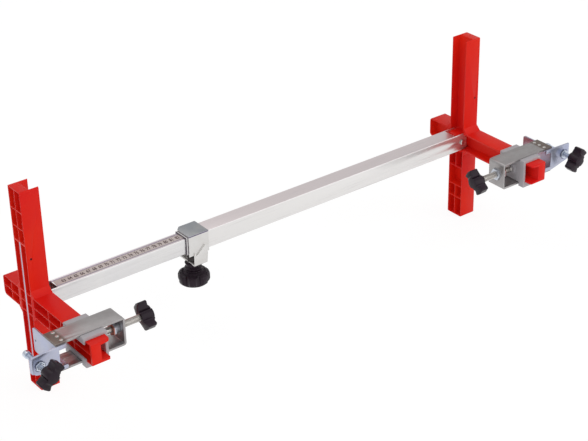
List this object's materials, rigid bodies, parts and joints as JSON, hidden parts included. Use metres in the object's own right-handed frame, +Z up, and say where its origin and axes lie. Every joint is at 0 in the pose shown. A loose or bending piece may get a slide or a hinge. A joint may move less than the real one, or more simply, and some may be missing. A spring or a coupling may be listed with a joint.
{
  "type": "door frame clamp",
  "caption": "Telescopic spreader bar with folding cross-shaped heads, sliding yoke clamps and wall screws for setting a door frame.",
  "frame": {"origin": "centre of the left head's jamb face, on the centre line of the bar", "axes": "+X along the bar towards the right head, -Y along the long arms towards the user, +Z up the upper posts"},
  "size_m": [0.9946, 0.252, 0.315],
  "materials": {
    "red_plastic": "satin",
    "grey_plastic": "matte",
    "black_plastic": "satin",
    "tube_aluminium": "satin",
    "bar_aluminium": "satin",
    "zinc_steel": "satin",
    "yoke_steel": "satin",
    "bright_steel": "polished",
    "spring_steel": "satin",
    "brass": "satin",
    "tape": "satin"
  },
  "bodies": {
    "left_head_body": {"left_head": "red_plastic", "left_stiffener": "zinc_steel", "left_pivot_rivet": "bright_steel"},
    "inner_bar_body": {"inner_bar": "bar_aluminium", "inner_bar_plug": "black_plastic", "scale_tape": "tape"},
    "outer_tube_body": {"outer_tube": "tube_aluminium", "lock_saddle": "zinc_steel", "lock_bracket": "zinc_steel", "lock_nut": "brass"},
    "right_head_body": {"right_head": "red_plastic", "right_stiffener": "zinc_steel", "right_pivot_rivet": "bright_steel"},
    "lock_pad_body": {"lock_pad": "brass"},
    "lock_screw_body": {"lock_screw": "bright_steel", "lock_knob": "black_plastic"},
    "left_carriage_body": {"left_carriage": "grey_plastic"},
    "left_yoke_body": {"left_yoke": "yoke_steel", "left_spindle_nut": "brass", "left_jaw": "zinc_steel", "left_jaw_rivets": "bright_steel", "left_wall_nut": "zinc_steel"},
    "left_spindle_body": {"left_spindle": "bright_steel", "left_spindle_clip": "spring_steel", "left_spindle_knob": "black_plastic"},
    "left_wall_foot_body": {"left_wall_foot": "bright_steel"},
    "left_wall_screw_body": {"left_wall_screw": "bright_steel", "left_wall_knob": "black_plastic"},
    "right_carriage_body": {"right_carriage": "grey_plastic"},
    "right_yoke_body": {"right_yoke": "yoke_steel", "right_spindle_nut": "brass", "right_jaw": "zinc_steel", "right_jaw_rivets": "bright_steel", "right_wall_nut": "zinc_steel"},
    "right_spindle_body": {"right_spindle": "bright_steel", "right_spindle_clip": "spring_steel", "right_spindle_knob": "black_plastic"},
    "right_wall_foot_body": {"right_wall_foot": "bright_steel"},
    "right_wall_screw_body": {"right_wall_screw": "bright_steel", "right_wall_knob": "black_plastic"}
  },
  "joints": [
    {"name": "left_fold", "type": "hinge", "parent": "left_head_body", "child": "inner_bar_body", "pos_m": [0.0294, 0, 0], "axis": [0, -1, 0], "range_deg": [0, 90]},
    {"name": "bar_extend", "type": "slide", "parent": "inner_bar_body", "child": "outer_tube_body", "axis": [1, 0, 0], "range_m": [-0.215, 0.2]},
    {"name": "right_fold", "type": "hinge", "parent": "outer_tube_body", "child": "right_head_body", "pos_m": [0.8006, 0, 0], "axis": [0, -1, 0], "range_deg": [0, 90]},
    {"name": "lock_knob_turn", "type": "hinge", "parent": "lock_pad_body", "child": "lock_screw_body", "pos_m": [0.275, 0, -0.03], "axis": [0, 0, 1], "range_deg": [-482, 2]},
    {"name": "lock_pad_press", "type": "slide", "parent": "outer_tube_body", "child": "lock_pad_body", "axis": [0, 0, 1], "range_m": [-0.002, 0]},
    {"name": "left_carriage_slide", "type": "slide", "parent": "left_head_body", "child": "left_carriage_body", "axis": [0, 1, 0], "range_m": [-0.012, 0.075]},
    {"name": "left_spindle_turn", "type": "hinge", "parent": "left_carriage_body", "child": "left_spindle_body", "pos_m": [0.05, -0.1325, 0], "axis": [-1, 0, 0], "range_deg": [-3602, 4562]},
    {"name": "left_yoke_draw", "type": "slide", "parent": "left_carriage_body", "child": "left_yoke_body", "axis": [1, 0, 0], "range_m": [-0.015, 0.019]},
    {"name": "left_wall_screw_turn", "type": "hinge", "parent": "left_wall_foot_body", "child": "left_wall_screw_body", "pos_m": [-0.0644, -0.15, 0.001], "axis": [0, 1, 0], "range_deg": [-6050, 4034]},
    {"name": "left_wall_foot_press", "type": "slide", "parent": "left_yoke_body", "child": "left_wall_foot_body", "axis": [0, 1, 0], "range_m": [-0.021, 0.014]},
    {"name": "right_carriage_slide", "type": "slide", "parent": "right_head_body", "child": "right_carriage_body", "axis": [0, 1, 0], "range_m": [-0.012, 0.075]},
    {"name": "right_spindle_turn", "type": "hinge", "parent": "right_carriage_body", "child": "right_spindle_body", "pos_m": [0.78, -0.1325, 0], "axis": [1, 0, 0], "range_deg": [-3602, 4562]},
    {"name": "right_yoke_draw", "type": "slide", "parent": "right_carriage_body", "child": "right_yoke_body", "axis": [-1, 0, 0], "range_m": [-0.015, 0.019]},
    {"name": "right_wall_screw_turn", "type": "hinge", "parent": "right_wall_foot_body", "child": "right_wall_screw_body", "pos_m": [0.8944, -0.15, 0.001], "axis": [0, 1, 0], "range_deg": [-6050, 4034]},
    {"name": "right_wall_foot_press", "type": "slide", "parent": "right_yoke_body", "child": "right_wall_foot_body", "axis": [0, 1, 0], "range_m": [-0.021, 0.014]}
  ],
  "couplings": [
    {"joint": "lock_knob_turn", "follows": "lock_pad_press", "rad_per_m": 4188.8},
    {"joint": "left_spindle_turn", "follows": "left_yoke_draw", "rad_per_m": 4188.8},
    {"joint": "left_wall_screw_turn", "follows": "left_wall_foot_press", "rad_per_m": 5026.5},
    {"joint": "right_spindle_turn", "follows": "right_yoke_draw", "rad_per_m": 4188.8},
    {"joint": "right_wall_screw_turn", "follows": "right_wall_foot_press", "rad_per_m": 5026.5}
  ]
}
